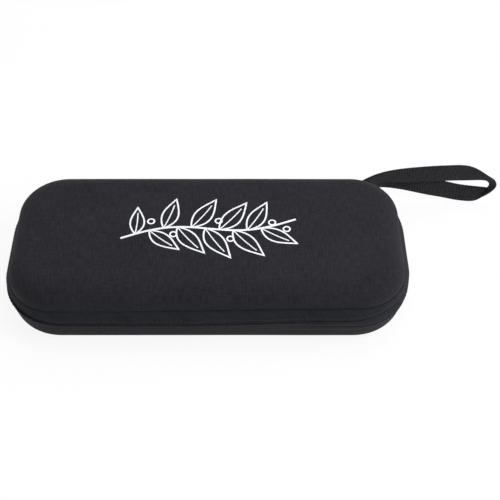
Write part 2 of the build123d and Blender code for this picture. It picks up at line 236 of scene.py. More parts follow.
caseWeave = {
    "dark": srgb(13, 12, 16),
    "light": srgb(44, 43, 50),
    "roughness": 0.88,
    "warpPitch": 0.9 * mm,
    "weftPitch": 0.9 * mm,
    "streakScale": (880, 150, 1),
    "streakShare": 0.9,
    "crossShare": 0.65,
    "cloudScale": (30, 30, 1),
    "cloudShare": 0.35,
    "weaveShare": 0.16,
    "ribPitch": 2.0 * mm,
    "ribShadeShare": 0.0,
    "ground": -0.45,
    "streakRelief": 1.2,
    "relief": 0.06 * mm,
    "specular": 0.14,
    "sheen": 0.04,
    "sheenRoughness": 0.5,
}
caseFabric = wovenMaterial("caseFabric", caseWeave)

tapeWeave = dict(
    caseWeave,
    dark=srgb(13, 15, 19),
    light=srgb(40, 42, 49),
    warpPitch=1.3 * mm,
    weftPitch=0.8 * mm,
    streakScale=(620, 70, 1),
    weaveShare=0.25,
    ribPitch=1.9 * mm,
    ribShadeShare=0.16,
    relief=0.09 * mm,
)
tapeFabric = wovenMaterial("tapeFabric", tapeWeave)

webbingWeave = dict(
    caseWeave,
    dark=srgb(16, 16, 19),
    light=srgb(52, 51, 57),
    warpPitch=1.4 * mm,
    weftPitch=1.0 * mm,
    streakScale=(500, 500, 1),
    weaveShare=0.2,
    ribPitch=2.0 * mm,
    ribShadeShare=0.3,
    relief=0.12 * mm,
)
webbingFabric = wovenMaterial("webbingFabric", webbingWeave)

ribbonWeave = dict(tapeWeave, warpPitch=0.8 * mm, weftPitch=0.8 * mm, ribShadeShare=0.1)
ribbonFabric = wovenMaterial("ribbonFabric", ribbonWeave)

elasticWeave = dict(
    tapeWeave,
    dark=srgb(20, 20, 23),
    light=srgb(56, 56, 61),
    warpPitch=1.6 * mm,
    weftPitch=1.1 * mm,
    relief=0.2 * mm,
)
elasticFabric = wovenMaterial("elasticFabric", elasticWeave)

liningWeave = dict(
    caseWeave,
    dark=srgb(18, 18, 21),
    light=srgb(40, 40, 44),
    warpPitch=0.7 * mm,
    weftPitch=1.2 * mm,
    sheen=0.25,
    streakScale=(1400, 1400, 1),
    cloudScale=(25, 25, 1),
    cloudShare=0.2,
)
liningFabric = wovenMaterial("liningFabric", liningWeave)


def grainMaterial(name, grain):
    # A moulded or cast surface: fine grain in the relief and a little cloud in the tint
    material, tree, shader = startMaterial(name, grain["light"], grain["roughness"])
    point = addNode(tree, "ShaderNodeTexCoord").outputs["Object"]
    fine = stretchedNoise(tree, point, (grain["scale"],) * 3)
    cloud = stretchedNoise(tree, point, (grain["cloud"],) * 3)
    tintBetween(tree, cloud, grain["dark"], grain["light"], shader.inputs["Base Color"])
    addBump(tree, shader, fine, grain["relief"])
    shader.inputs["Metallic"].default_value = grain["metal"]
    shader.inputs["Specular IOR Level"].default_value = grain["specular"]
    return material


toothPlastic = grainMaterial(
    "toothPlastic",
    {"dark": srgb(20, 20, 23), "light": srgb(38, 38, 42), "roughness": 0.42, "scale": 3000,
     "cloud": 90, "relief": 0.01 * mm, "metal": 0.0, "specular": 0.4},
)
foamMaterial = grainMaterial(
    "mouldedFoam",
    {"dark": srgb(24, 24, 27), "light": srgb(42, 42, 46), "roughness": 0.9, "scale": 1600,
     "cloud": 60, "relief": 0.08 * mm, "metal": 0.0, "specular": 0.2},
)
sliderMetal = grainMaterial(
    "sliderMetal",
    {"dark": srgb(52, 52, 56), "light": srgb(84, 84, 90), "roughness": 0.36, "scale": 2600,
     "cloud": 160, "relief": 0.01 * mm, "metal": 0.9, "specular": 0.5},
)
netYarn = grainMaterial(
    "netYarn",
    {"dark": srgb(58, 58, 63), "light": srgb(92, 92, 98), "roughness": 0.7, "scale": 2500,
     "cloud": 200, "relief": 0.03 * mm, "metal": 0.0, "specular": 0.3},
)
threadYarn = grainMaterial(
    "threadYarn",
    {"dark": srgb(22, 24, 29), "light": srgb(50, 52, 60), "roughness": 0.62, "scale": 4000,
     "cloud": 300, "relief": 0.02 * mm, "metal": 0.0, "specular": 0.3},
)
printInk = grainMaterial(
    "printInk",
    {"dark": srgb(214, 219, 224), "light": srgb(240, 243, 246), "roughness": 0.55, "scale": 2500,
     "cloud": 120, "relief": 0.015 * mm, "metal": 0.0, "specular": 0.3},
)
print("materials made")


def planStations(inset, radius, startX, endX):
    # Points round a rounded rectangle, clockwise from above: out along the back from startX, round the
    # right end, the front and the left end, and in along the back to endX. Each is (x, y, nx, ny, run).
    wide = halfLength - inset
    deep = halfDepth - inset
    cx, cy = wide - radius, deep - radius
    steps = stationSteps
    found = []

    def straight(x0, y0, x1, y1, count, nx, ny):
        for i in range(count):
            share = i / count
            found.append((mixed(x0, x1, share), mixed(y0, y1, share), nx, ny))

    def corner(x, y, first):
        for i in range(steps["corner"]):
            angle = math.radians(first - 90 * i / steps["corner"])
            nx, ny = math.cos(angle), math.sin(angle)
            found.append((x + radius * nx, y + radius * ny, nx, ny))

    straight(startX, deep, cx, deep, steps["back"], 0, 1)
    corner(cx, cy, 90)
    straight(wide, cy, wide, -cy, steps["side"], 1, 0)
    corner(cx, -cy, 0)
    straight(cx, -deep, -cx, -deep, steps["front"], 0, -1)
    corner(-cx, -cy, -90)
    straight(-wide, -cy, -wide, cy, steps["side"], -1, 0)
    corner(-cx, cy, 180)
    straight(-cx, deep, endX, deep, steps["back"], 0, 1)
    found.append((endX, deep, 0, 1))
    return [(*station, run) for station, run in zip(found, runsOf(found))]


def skinObject(name, rows, flats, closedRows=False, closedSection=False, capped=False):
    # A quad skin over rows of points. flats holds the same rows as flat cloth coordinates.
    count = len(rows[0]) - (1 if closedRows else 0)
    vertices = [point for row in rows for point in row[:count]]
    faces, corners = [], []
    last = len(rows) if closedSection else len(rows) - 1
    for i in range(last):
        below = (i + 1) % len(rows)
        for j in range(len(rows[0]) - 1):
            beside = (j + 1) % count
            faces.append((i * count + j, i * count + beside, below * count + beside, below * count + j))
            lower = flats[i + 1] if i + 1 < len(flats) else flats[below]
            corners.extend([flats[i][j], flats[i][j + 1], lower[j + 1], lower[j]])
    if capped:
        for column in (0, count - 1):
            ring = [i * count + column for i in range(len(rows))]
            faces.append(tuple(ring))
            corners.extend([flats[i][column] for i in range(len(rows))])
    mesh = bpy.data.meshes.new(name)
    mesh.from_pydata(vertices, [], faces)
    layer = mesh.uv_layers.new(name="cloth")
    layer.data.foreach_set("uv", [value for pair in corners for value in pair])
    mesh.polygons.foreach_set("use_smooth", [True] * len(mesh.polygons))
    mesh.update()
    return addObject(name, mesh)


def mendMesh(piece, mergeWithin=0.01 * mm):
    def mend(work):
        bmesh.ops.remove_doubles(work, verts=work.verts, dist=mergeWithin)
        bmesh.ops.dissolve_degenerate(work, edges=work.edges, dist=mergeWithin / 10)
        bmesh.ops.recalc_face_normals(work, faces=work.faces)

    editMesh(piece.data, mend)


def giveThickness(piece, thickness, side):
    solid = piece.modifiers.new("thickness", "SOLIDIFY")
    solid.thickness = thickness
    solid.offset = side


def roundOff(piece, levels=1):
    soften = piece.modifiers.new("soften", "SUBSURF")
    soften.levels = levels
    soften.render_levels = levels


def dress(piece, material, body, stands=()):
    piece.data.materials.clear()
    piece.data.materials.append(material)
    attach(piece, body)
    if stands:
        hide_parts(*stands)


def ringFor(inset, body):
    # A level line of one half: its corner radius shrinks as it moves in from the rim
    return planStations(inset, sides[body]["radius"] - (inset - sides[body]["inset"]), 0, 0)


def shellRows(section, body, centreSteps, place):
    # Rings along a section, then on to the middle line. place turns (x, y, height) into a point.
    # The cloth lies flat on the middle and is folded down over the edge from there.
    rows, flats, runs = [], [], runsOf(section)
    inset, height = section[-1]
    ring = ringFor(inset, body)
    for (ringInset, ringHeight), run in zip(section, runs):
        out = runs[-1] - run
        rows.append([place(x, y, ringHeight) for x, y, *rest in ringFor(ringInset, body)])
        flats.append([(x + nx * out, y + ny * out) for x, y, nx, ny, along in ring])
    start = flats[-1]
    middle = halfLength - inset - (halfDepth - inset)
    for share in (k / centreSteps for k in range(1, centreSteps + 1)):
        row, flat = [], []
        for (x, y, *rest), (flatX, flatY) in zip(ring, start):
            target = max(-middle, min(middle, x))
            px, py = mixed(x, target, share), mixed(y, 0, share)
            row.append(place(px, py, height))
            flat.append((flatX + px - x, flatY + py - y))
        rows.append(row)
        flats.append(flat)
    return rows, flats


def newTree(name, sizes):
    # A tree that takes lines, with one named input for each size and one for the material
    tree = bpy.data.node_groups.new(name, "GeometryNodeTree")
    kinds = {"Lines": "Geometry", **dict.fromkeys(sizes, "Float"), "Material": "Material"}
    known = {}
    for label, kind in kinds.items():
        socket = tree.interface.new_socket(label, in_out="INPUT", socket_type="NodeSocket" + kind)
        if label in sizes:
            socket.default_value = sizes[label]
        known[label] = socket.identifier
    tree.interface.new_socket("Pieces", in_out="OUTPUT", socket_type="NodeSocketGeometry")
    return tree, addNode(tree, "NodeGroupInput"), known


def closeTree(tree, enter, last):
    real = addNode(tree, "GeometryNodeRealizeInstances")
    shaded = addNode(tree, "GeometryNodeSetShadeSmooth")
    coat = addNode(tree, "GeometryNodeSetMaterial")
    leave = addNode(tree, "NodeGroupOutput")
    wire(tree, last, real.inputs["Geometry"])
    wire(tree, real.outputs[0], shaded.inputs[0])
    wire(tree, shaded.outputs[0], coat.inputs["Geometry"])
    wire(tree, enter.outputs["Material"], coat.inputs["Material"])
    wire(tree, coat.outputs[0], leave.inputs[0])


def spacedRow(tree, enter, shape):
    # Copies of one shape along the lines, at the pitch, turned along them
    curve = addNode(tree, "GeometryNodeMeshToCurve")
    spaced = addNode(tree, "GeometryNodeResampleCurve", mode="LENGTH")
    tangent = addNode(tree, "GeometryNodeInputTangent")
    turn = addNode(tree, "FunctionNodeAlignRotationToVector", axis="X")
    copies = addNode(tree, "GeometryNodeInstanceOnPoints")
    wire(tree, enter.outputs["Lines"], curve.inputs[0])
    wire(tree, curve.outputs[0], spaced.inputs[0])
    wire(tree, enter.outputs["Pitch"], spaced.inputs["Length"])
    wire(tree, spaced.outputs[0], copies.inputs["Points"])
    wire(tree, tangent.outputs[0], turn.inputs["Vector"])
    wire(tree, turn.outputs[0], copies.inputs["Rotation"])
    wire(tree, shape, copies.inputs["Instance"])
    return copies.outputs[0]


def scaledShape(tree, enter, shape, labels, turned=0.0):
    # A shape of size 1, turned first and then given its length, width and height
    first = addNode(tree, "GeometryNodeTransform", Rotation=(0, 0, turned))
    second = addNode(tree, "GeometryNodeTransform")
    sizes = addNode(tree, "ShaderNodeCombineXYZ")
    for socket, label in zip(sizes.inputs, labels):
        wire(tree, enter.outputs[label], socket)
    wire(tree, shape, first.inputs["Geometry"])
    wire(tree, first.outputs[0], second.inputs["Geometry"])
    wire(tree, sizes.outputs[0], second.inputs["Scale"])
    return second.outputs[0]


seamStitches = {"Pitch": 3.1 * mm, "Stitch": 2.5 * mm, "Thread": 0.42 * mm}
toothSizes = {"Pitch": 566.95 * mm / 188, "Width": 1.05 * mm, "Depth": 1.8 * mm, "Height": 2.35 * mm}


def makeStitchTree():
    tree, enter, known = newTree("stitches", seamStitches)
    bead = addNode(tree, "GeometryNodeMeshUVSphere", Segments=6, Rings=4, Radius=0.5)
    shape = scaledShape(tree, enter, bead.outputs["Mesh"], ("Stitch", "Thread", "Thread"))
    closeTree(tree, enter, spacedRow(tree, enter, shape))
    return tree, known


def makeToothTree():
    # A block that narrows a little to its far end
    tree, enter, known = newTree("teeth", toothSizes)
    corners = {"Radius Bottom": math.sqrt(0.5), "Radius Top": 0.54}
    block = addNode(tree, "GeometryNodeMeshCone", Vertices=4, Depth=1.0, **corners)
    shape = scaledShape(tree, enter, block.outputs["Mesh"], ("Width", "Depth", "Height"), math.pi / 4)
    closeTree(tree, enter, spacedRow(tree, enter, shape))
    return tree, known


def makeCordTree():
    tree, enter, known = newTree("cords", {"Thread": 0.4 * mm})
    curve = addNode(tree, "GeometryNodeMeshToCurve")
    ring = addNode(tree, "GeometryNodeCurvePrimitiveCircle", Resolution=4)
    body = addNode(tree, "GeometryNodeCurveToMesh", **{"Fill Caps": True})
    wire(tree, enter.outputs["Lines"], curve.inputs[0])
    wire(tree, calculate(tree, "MULTIPLY", enter.outputs["Thread"], 0.5), ring.inputs["Radius"])
    wire(tree, curve.outputs[0], body.inputs["Curve"])
    wire(tree, ring.outputs[0], body.inputs["Profile Curve"])
    closeTree(tree, enter, body.outputs[0])
    return tree, known


stitchTree = makeStitchTree()
toothTree = makeToothTree()
cordTree = makeCordTree()


def repeatAlong(name, treeAndInputs, lines, sizes, material, body=None, stands=()):
    # Runs a tree on a set of lines and keeps the result as a plain mesh, for one body
    tree, known = treeAndInputs
    vertices, edges = [], []
    for line in lines:
        first = len(vertices)
        vertices.extend(line)
        edges.extend((first + i, first + i + 1) for i in range(len(line) - 1))
    mesh = bpy.data.meshes.new(name + "Lines")
    mesh.from_pydata(vertices, edges, [])
    holder = addObject(name + "Lines", mesh)
    repeat = holder.modifiers.new("repeat", "NODES")
    repeat.node_group = tree
    for label, value in sizes.items():
        repeat[known[label]] = value
    repeat[known["Material"]] = material
    graph = bpy.context.evaluated_depsgraph_get()
    made = bpy.data.meshes.new_from_object(holder.evaluated_get(graph))
    bpy.data.objects.remove(holder)
    bpy.data.meshes.remove(mesh)
    made.name = name
    piece = addObject(name, made)
    if body:
        dress(piece, material, body, stands)
    return piece


coverLook = {
    "hemTurn": 0.9 * mm,  # how far the hem turns in under the rim
    "hemTuck": 0.1 * mm,
    "hemRound": 0.15 * mm,
    "hemRise": 0.5 * mm,
    "edgeSteps": 16,
    "lidTopSteps": 14,
    "baseBottomSteps": 6,
    "reliefRamp": 1.6 * mm,
    "wallFade": 6 * mm,
    "uneven": 0.12 * mm,  # slow, slight swells such as pressed foam under cloth has
    "unevenAlong": 26.0,
    "unevenUp": 30,
    "endCrown": 0.4 * mm,
    "lidHemLeft": -1.5 * mm,  # how far the hems lie off their level at the front
    "lidHemRight": 1.6 * mm,
    "lidHemFrom": -95 * mm,
    "lidHemLength": 210 * mm,
    "baseHemRight": -2.0 * mm,
    "baseHemFrom": 10 * mm,
    "baseHemLength": 75 * mm,
    "hemFade": 11.0 * mm,
    "frontFrom": 10 * mm,
    "frontDepth": 50 * mm,
}


def hemShift(x, y, body):
    look = coverLook
    front = smooth((look["frontFrom"] - y) / look["frontDepth"])
    if body == "base":
        return look["baseHemRight"] * smooth((x - look["baseHemFrom"]) / look["baseHemLength"]) * front
    share = smooth((x - look["lidHemFrom"]) / look["lidHemLength"])
    return mixed(look["lidHemLeft"], look["lidHemRight"], share) * front


def unevenness(x, y, z, seed):
    along = coverLook["unevenAlong"]
    spot = Vector((x * along, y * along, z * coverLook["unevenUp"] + seed))
    return coverLook["uneven"] * noise.noise(spot)


def shellSection(body, offset, hem):
    # From the rim along the wall and round the edge, offset inward
    look, side = coverLook, sides[body]
    inset, rim, away = side["inset"] + offset, side["rim"], -side["toward"]
    radius, draft = side["edge"] - offset, side["draft"]
    centreHeight = lidTop - side["edge"] if body == "lid" else side["edge"]
    section = [(inset, rim)]
    if hem:
        section = [(inset + look["hemTurn"], rim + away * look["hemTuck"]), (inset + look["hemRound"], rim),
                   (inset, rim + away * look["hemRise"])]
    if body == "lid":
        centreInset = inset + (centreHeight - rim) * math.tan(draft) + radius * math.cos(draft)
    else:
        bendHeight = centreHeight - radius * math.sin(draft)
        bendInset = inset + (rim - bendHeight) * math.tan(draft)
        for share in (0.25, 0.5, 0.75):
            section.append((mixed(inset, bendInset, share), mixed(rim, bendHeight, share)))
        centreInset = bendInset + radius * math.cos(draft)
    for i in range(look["edgeSteps"] + 1):
        angle = away * mixed(draft, math.pi / 2, i / look["edgeSteps"])
        section.append((centreInset - radius * math.cos(angle), centreHeight + radius * math.sin(angle)))
    return section


def lidHeightDrop(x, y, height):
    # The crown falls off to the long sides and a little to the ends
    high = smooth((height - lidRim) / (lidTop - halves["layers"] - lidRim))
    crown = halves["lidCrown"] * (y / halfDepth) ** 2 + coverLook["endCrown"] * (x / halfLength) ** 4
    return high * crown


def placeLid(x, y, height):
    drop = lidHeightDrop(x, y, height)
    rise = unevenness(x, y, height, 3) * smooth((height - lidRim) / coverLook["wallFade"])
    shift = hemShift(x, y, "lid") * (1 - smooth((height - lidRim) / coverLook["hemFade"]))
    return Vector((x, y, height - drop + rise + shift))


def reliefShare(x, y):
    # 1 along the stretch of the back where the rim is lowered, 0 elsewhere
    if y < 0:
        return 0.0
    ramp = coverLook["reliefRamp"]
    return smooth((x - tailLow.x) / ramp + 0.5) * smooth((spineHigh.x - x) / ramp + 0.5)


def lowerWall(x, y, height):
    # Where a point of the base's wall goes as the rim is lowered at the back
    edge = sides["base"]["edge"]
    if height <= edge:
        return y, height
    squeeze = (reliefRim - edge) / (baseRim - edge)
    lowered = mixed(height, edge + (height - edge) * squeeze, reliefShare(x, y))
    return y - math.tan(sides["base"]["draft"]) * (height - lowered), lowered


def placeBase(x, y, height):
    y, height = lowerWall(x, y, height)
    fade = smooth((height - 1 * mm) / coverLook["wallFade"]) * smooth((baseRim - height) / (3 * mm))
    rise = unevenness(x, y, height, 9) * fade
    side = Vector((x / halfLength, y / halfDepth, 0))
    shift = hemShift(x, y, "base") * (1 - smooth((baseRim - height) / coverLook["hemFade"]))
    return Vector((x, y, height + shift)) + side * rise


def finishSkin(piece, material, body, node, mergeWithin=0.01 * mm):
    mendMesh(piece, mergeWithin)
    dress(piece, material, body, [node])


def makeShell(name, section, steps, place, thickness, material, body, node):
    shell = skinObject(name, *shellRows(section, body, steps, place), closedRows=True)
    giveThickness(shell, thickness, -1)
    roundOff(shell)
    finishSkin(shell, material, body, node)


makeShell("lidCover", shellSection("lid", 0, True), coverLook["lidTopSteps"], placeLid,
          halves["coverThickness"], caseFabric, "lid", "lid_cover")
makeShell("baseCover", shellSection("base", 0, True), coverLook["baseBottomSteps"], placeBase,
          halves["coverThickness"], caseFabric, "base", "base_cover")
print("covers made")


tapeLook = {
    "thickness": 0.7 * mm,
    "bulge": 0.5 * mm,
    "foldRadius": 0.95 * mm,
    "foldTuck": 0.3 * mm,
    "foldDrop": 0.35 * mm,
    "cordThickness": 0.75 * mm,
    "cordClearance": 1.3 * mm,
    "cordEdge": 3.4 * mm,
    "cordRound": 0.2 * mm,
    "flange": 4.1 * mm,
    "wallSteps": 7,
    "foldSteps": 4,
    "leastWall": 0.5 * mm,
    "leftDrop": 1.25 * mm,  # how far the seam sags along the front left
    "rightRise": 2.4 * mm,  # how much higher it lies at the front right corner
    "riseFrom": -20 * mm,
    "riseTo": 90 * mm,
    "frontFrom": 20 * mm,
    "frontDepth": 60 * mm,
    "groove": 0.5 * mm,  # how far the tape lies in under the cover's hem
    "grooveShare": 0.13,
    "endGap": 1.0 * mm,
}


def seamRise(x, y):
    look = tapeLook
    share = smooth((x - look["riseFrom"]) / (look["riseTo"] - look["riseFrom"]))
    front = smooth((look["frontFrom"] - y) / look["frontDepth"])
    return mixed(-look["leftDrop"], look["rightRise"], share) * front


def wallInset(rimInset, share):
    bulge = tapeLook["bulge"] * math.sin(math.pi * share) * (0.6 + 0.4 * share)
    groove = tapeLook["groove"] * max(0, 1 - share / tapeLook["grooveShare"])
    return mixed(rimInset, 0, share) - bulge + groove


def wallShift(x, y, rising, rimming, body):
    # How far a point of the tape's wall moves with the uneven seam and with the uneven hem
    return rising * seamRise(x, y) + rimming * hemShift(x, y, body)


def tapeSection(side):
    # A closed section as (inset, height, share from rim to seam, part in the seam's rise, in the hem's)
    look, section = tapeLook, []
    rimInset, rimHeight, seam, toward = side["inset"], side["rim"], side["seam"], side["toward"]
    fold, steps = look["foldRadius"], look["foldSteps"]
    for share in (i / look["wallSteps"] for i in range(look["wallSteps"] + 1)):
        height = mixed(rimHeight, seam - toward * fold, share)
        section.append((wallInset(rimInset, share), height, share, share, 1 - share))
    for angle in (math.pi / 2 * i / steps for i in range(1, steps + 1)):
        height = seam - toward * fold * (1 - math.sin(angle))
        section.append((fold * (1 - math.cos(angle)), height, 1.0, 1.0, 0.0))
    cordHeight = seamHeight - toward * look["cordClearance"]
    cordRoot = cordHeight - toward * look["cordThickness"]
    flangeHeight = rimHeight + toward * look["thickness"]
    cordShare = (cordHeight - rimHeight) / (seam - rimHeight)
    rootShare = (cordRoot - rimHeight) / (seam - rimHeight)
    inner, tip, tuck = look["thickness"], look["cordEdge"], look["foldTuck"]
    section += [
        (fold + tuck, seam - toward * look["foldDrop"], 1.0, 0.9, 0.0),
        (mixed(rimInset, 0, cordShare) + inner, cordHeight, cordShare, 0.0, 0.0),
        (tip - look["cordRound"], cordHeight, cordShare, 0.0, 0.0),
        (tip, mixed(cordHeight, cordRoot, 0.5), cordShare, 0.0, 0.0),
        (tip - look["cordRound"], cordRoot, rootShare, 0.0, 0.0),
        (mixed(rimInset, 0, rootShare) + inner, cordRoot, rootShare, 0.0, 0.0),
    ]
    if toward * (cordRoot - flangeHeight) > look["leastWall"]:  # high enough to have an inner wall
        section.append((rimInset + inner - tuck, flangeHeight, 0.1, 0.0, 0.0))
    edge = rimInset + look["flange"]
    return section + [(edge, flangeHeight, 0.0, 0.0, 0.0), (edge, rimHeight, 0.0, 0.0, 0.0)]


def tapeRing(inset, share, side, startX, endX):
    radius = mixed(side["radius"], halves["bulgeRadius"], share) - (inset - mixed(side["inset"], 0, share))
    return planStations(inset, radius, startX, endX)


def makeTape(name, body, node):
    side = sides[body]
    section = tapeSection(side)
    rows, flats = [], []
    for (inset, height, share, rising, rimming), across in zip(section, runsOf(section)):
        ring = tapeRing(inset, share, side, spineHigh.x, tailLow.x)
        rows.append([Vector((x, y, height + wallShift(x, y, rising, rimming, body))) for x, y, *rest in ring])
        flats.append([(station[4], across) for station in ring])
    piece = skinObject(name, rows, flats, closedSection=True, capped=True)
    finishSkin(piece, tapeFabric, body, node)


makeTape("lidTape", "lid", "lid_tape")
makeTape("baseTape", "base", "base_tape")

seamPlaces = {"lid": 0.80, "base": 0.30, "proud": 0.05 * mm}


def makeTapeStitches(name, body):
    # One row along the outside of a tape, at a share of the way from its rim to the seam
    side, share, gap = sides[body], seamPlaces[body], tapeLook["endGap"]
    inset = wallInset(side["inset"], share) - seamPlaces["proud"]
    ring = tapeRing(inset, share, side, spineHigh.x + gap, tailLow.x - gap)
    height = mixed(side["rim"], side["seam"] - side["toward"] * tapeLook["foldRadius"], share)
    line = [Vector((x, y, height + wallShift(x, y, share, 1 - share, body))) for x, y, *rest in ring]
    repeatAlong(name, stitchTree, [line], seamStitches, threadYarn, body)


makeTapeStitches("lidTapeStitches", "lid")
makeTapeStitches("baseTapeStitches", "base")
print("tapes made")


spineLook = {
    "thickness": 0.9 * mm,
    "turnIn": 4.1 * mm,
    "bendAcross": 0.4 * mm,
    "bendUp": 0.3 * mm,
    "bulge": 0.125 * mm,
    "steps": 22,
    "columns": 60,
    "stitchInset": 1.2 * mm,
    "stitchProud": 0.1 * mm,
}


def spineRows():
    look = spineLook
    low, high = spineLow, spineHigh
    lowerY, upperY = halfDepth - reliefInset, halfDepth - lidInset
    across, up = look["bendAcross"], look["bendUp"]
    path = [(lowerY - look["turnIn"], low.z), (lowerY - across, low.z), (lowerY, low.z + up)]
    for i in range(1, look["steps"]):
        height = mixed(low.z + up, high.z - up, i / look["steps"])
        if height < seamHeight:
            y = mixed(lowerY, halfDepth, (height - low.z) / (seamHeight - low.z))
        else:
            y = mixed(halfDepth, upperY, (height - seamHeight) / (high.z - seamHeight))
        soften = look["bulge"] * math.cos(math.pi * (height - seamHeight) / (high.z - low.z))
        path.append((y + soften, height))
    path += [(upperY, high.z - up), (upperY - across, high.z), (upperY - look["turnIn"], high.z)]
    xs = [mixed(low.x, high.x, j / look["columns"]) for j in range(look["columns"] + 1)]
    rows = [[Vector((x, y, z)) for x in xs] for y, z in path]
    return rows, [[(x, run) for x in xs] for run in runsOf(path)]


rows, flats = spineRows()
spineStrip = skinObject("spineStrip", rows, flats)
giveThickness(spineStrip, spineLook["thickness"], 1)
roundOff(spineStrip)
spineStrip.data.materials.append(caseFabric)
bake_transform(spineStrip)
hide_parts("spine_strip")


def lineAcross(lowX, highX, y, z, count=40):
    return [Vector((mixed(lowX, highX, i / count), y, z)) for i in range(count + 1)]


def makeSpineStitches():
    inset, proud = spineLook["stitchInset"], spineLook["stitchProud"]
    ends = spineLow.x + inset, spineHigh.x - inset
    y = mixed(halfDepth - reliefInset, halfDepth, inset / (seamHeight - reliefRim)) + proud
    lower = lineAcross(*ends, y, reliefRim + inset)
    y = mixed(halfDepth - lidInset, halfDepth, inset / (lidRim - seamHeight)) + proud
    upper = lineAcross(*ends, y, lidRim - inset)
    repeatAlong("spineStitchesLow", stitchTree, [lower], seamStitches, threadYarn, "base")
    repeatAlong("spineStitchesHigh", stitchTree, [upper], seamStitches, threadYarn, "lid")


makeSpineStitches()
print("spine made")

tailLook = {
    "columns": 12,
    "toothInset": 2.5 * mm,
    "basePhase": 0.25,  # where the last tooth stands, as a share of the pitch from the tape's end
    "lidPhase": 0.75,
    "stitchShare": 0.5,
    "toothSlack": 0.5 * mm,
    "endRise": 3.3 * mm,
    "endDrawn": 0.8,  # how much of its rise the drawn-in end keeps in its middle
    "endLaps": (0.3 * mm, 0.4 * mm),
    "endSink": 0.15 * mm,
    "endSteps": 6,
}


def makeTail(name, side, phase, body, node):
    # The straight end of one tape: its section run along the back, and its few teeth
    look, toward, section = tailLook, side["toward"], tapeSection(side)
    xs = [mixed(tailLow.x, tailHigh.x, i / look["columns"]) for i in range(look["columns"] + 1)]
    rows = [[Vector((x, halfDepth - inset, height)) for x in xs] for inset, height, *rest in section]
    flats = [[(x, across) for x in xs] for across in runsOf(section)]
    piece = skinObject(name, rows, flats, closedSection=True, capped=True)
    finishSkin(piece, tapeFabric, body, node)
    step = toothSizes["Pitch"]
    first = tailHigh.x - phase * step
    count = int((first - tailLow.x + look["toothSlack"]) / step)
    height = seamHeight - toward * (tapeLook["cordClearance"] - toothSizes["Height"] / 2)
    line = [Vector((first - k * step, halfDepth - look["toothInset"], height)) for k in (0, count)]
    sizes = dict(toothSizes, Height=toward * toothSizes["Height"])
    teeth = repeatAlong(name + "Teeth", toothTree, [line], sizes, toothPlastic, body)
    mendMesh(teeth)
    share, fold, gap = look["stitchShare"], toward * tapeLook["foldRadius"], tapeLook["endGap"]
    y = halfDepth - wallInset(side["inset"], share) + seamPlaces["proud"]
    height = mixed(side["rim"], side["seam"] - fold, share)
    stitched = lineAcross(tailLow.x + gap, tailHigh.x - gap, y, height, 10)
    repeatAlong(name + "Stitches", stitchTree, [stitched], seamStitches, threadYarn, body)


def makeLidTailEnd():
    # The cut end of the lid's tape is drawn in over the slider and runs on under the hem to the spine
    look = tailLook
    steps, rise, laps = look["endSteps"], look["endRise"], look["endLaps"]
    xs = [mixed(tailHigh.x - laps[0], spineLow.x + laps[1], i / steps) for i in range(steps + 1)]
    rows, flats = [], []
    for share in (k / steps for k in range(steps + 1)):
        row = []
        for i, x in enumerate(xs):
            reach = share * mixed(rise, rise * look["endDrawn"], math.sin(math.pi * i / steps))
            inset = mixed(lidInset, 0, reach / (lidRim - lidSeam)) + look["endSink"]
            row.append(Vector((x, halfDepth - inset, lidRim - reach)))
        rows.append(row)
        flats.append([(x, share * rise) for x in xs])
    end = skinObject("lidTailEnd", rows, flats)
    giveThickness(end, tapeLook["thickness"], -1)
    dress(end, tapeFabric, "lid")


makeTail("baseZipTail", relief, tailLook["basePhase"], "base", "base_zip_tail")
makeTail("lidZipTail", sides["lid"], tailLook["lidPhase"], "lid", "lid_zip_tail")
makeLidTailEnd()
print("zip tails made")


def placeLidPlain(x, y, height):
    return Vector((x, y, height - lidHeightDrop(x, y, height)))


def placeBasePlain(x, y, height):
    return Vector((x, *lowerWall(x, y, height)))


liningLook = {"thickness": 0.5 * mm, "middleSteps": 10}
liningOffset = halves["layers"] - liningLook["thickness"]
for name, place, body, node in (
    ("lidLining", placeLidPlain, "lid", "lid_lining"),
    ("baseLining", placeBasePlain, "base", "base_lining"),
):
    makeShell(name, shellSection(body, liningOffset, False), liningLook["middleSteps"], place,
              liningLook["thickness"], liningFabric, body, node)

bindingLook = {
    "thickness": 0.7 * mm,
    "drop": 6.0 * mm,
    "lip": 0.7 * mm,
    "stitchDrop": 4.6 * mm,
    "stitchOut": 1.08,
    # depth as a share of drop (below the rim) or lip (above it), and share of the thickness
    "section": [(-0.9, 0.05), (0, 0.02), (0.5, 0.02), (1, 0.02), (61 / 60, 0.5), (1, 0.95), (0.5, 1), (0, 1),
                (-0.6, 0.85), (-1, 0.5)],
}


def makeBinding(name, place, body, node):
    look, side = bindingLook, sides[body]
    edge, slope = side["inset"] + halves["layers"], math.tan(side["draft"])

    def spot(depth, out):
        inset = edge + max(depth, 0) * slope + out * look["thickness"]
        return (inset, side["rim"] - side["toward"] * depth)

    section = [spot(share * look["drop" if share > 0 else "lip"], out) for share, out in look["section"]]
    rows, flats = [], []
    for (inset, height), across in zip(section, runsOf(section)):
        ring = ringFor(inset, body)
        rows.append([place(x, y, height) for x, y, *rest in ring])
        flats.append([(station[4], across) for station in ring])
    ribbon = skinObject(name, rows, flats, closedRows=True, closedSection=True)
    finishSkin(ribbon, ribbonFabric, body, node)
    inset, height = spot(look["stitchDrop"], look["stitchOut"])
    line = [place(x, y, height) for x, y, *rest in ringFor(inset, body)]
    repeatAlong(name + "Stitches", stitchTree, [line], seamStitches, threadYarn, body)


makeBinding("lidBinding", placeLidPlain, "lid", "lid_binding")
makeBinding("baseBinding", placeBasePlain, "base", "base_binding")
print("linings and bindings made")

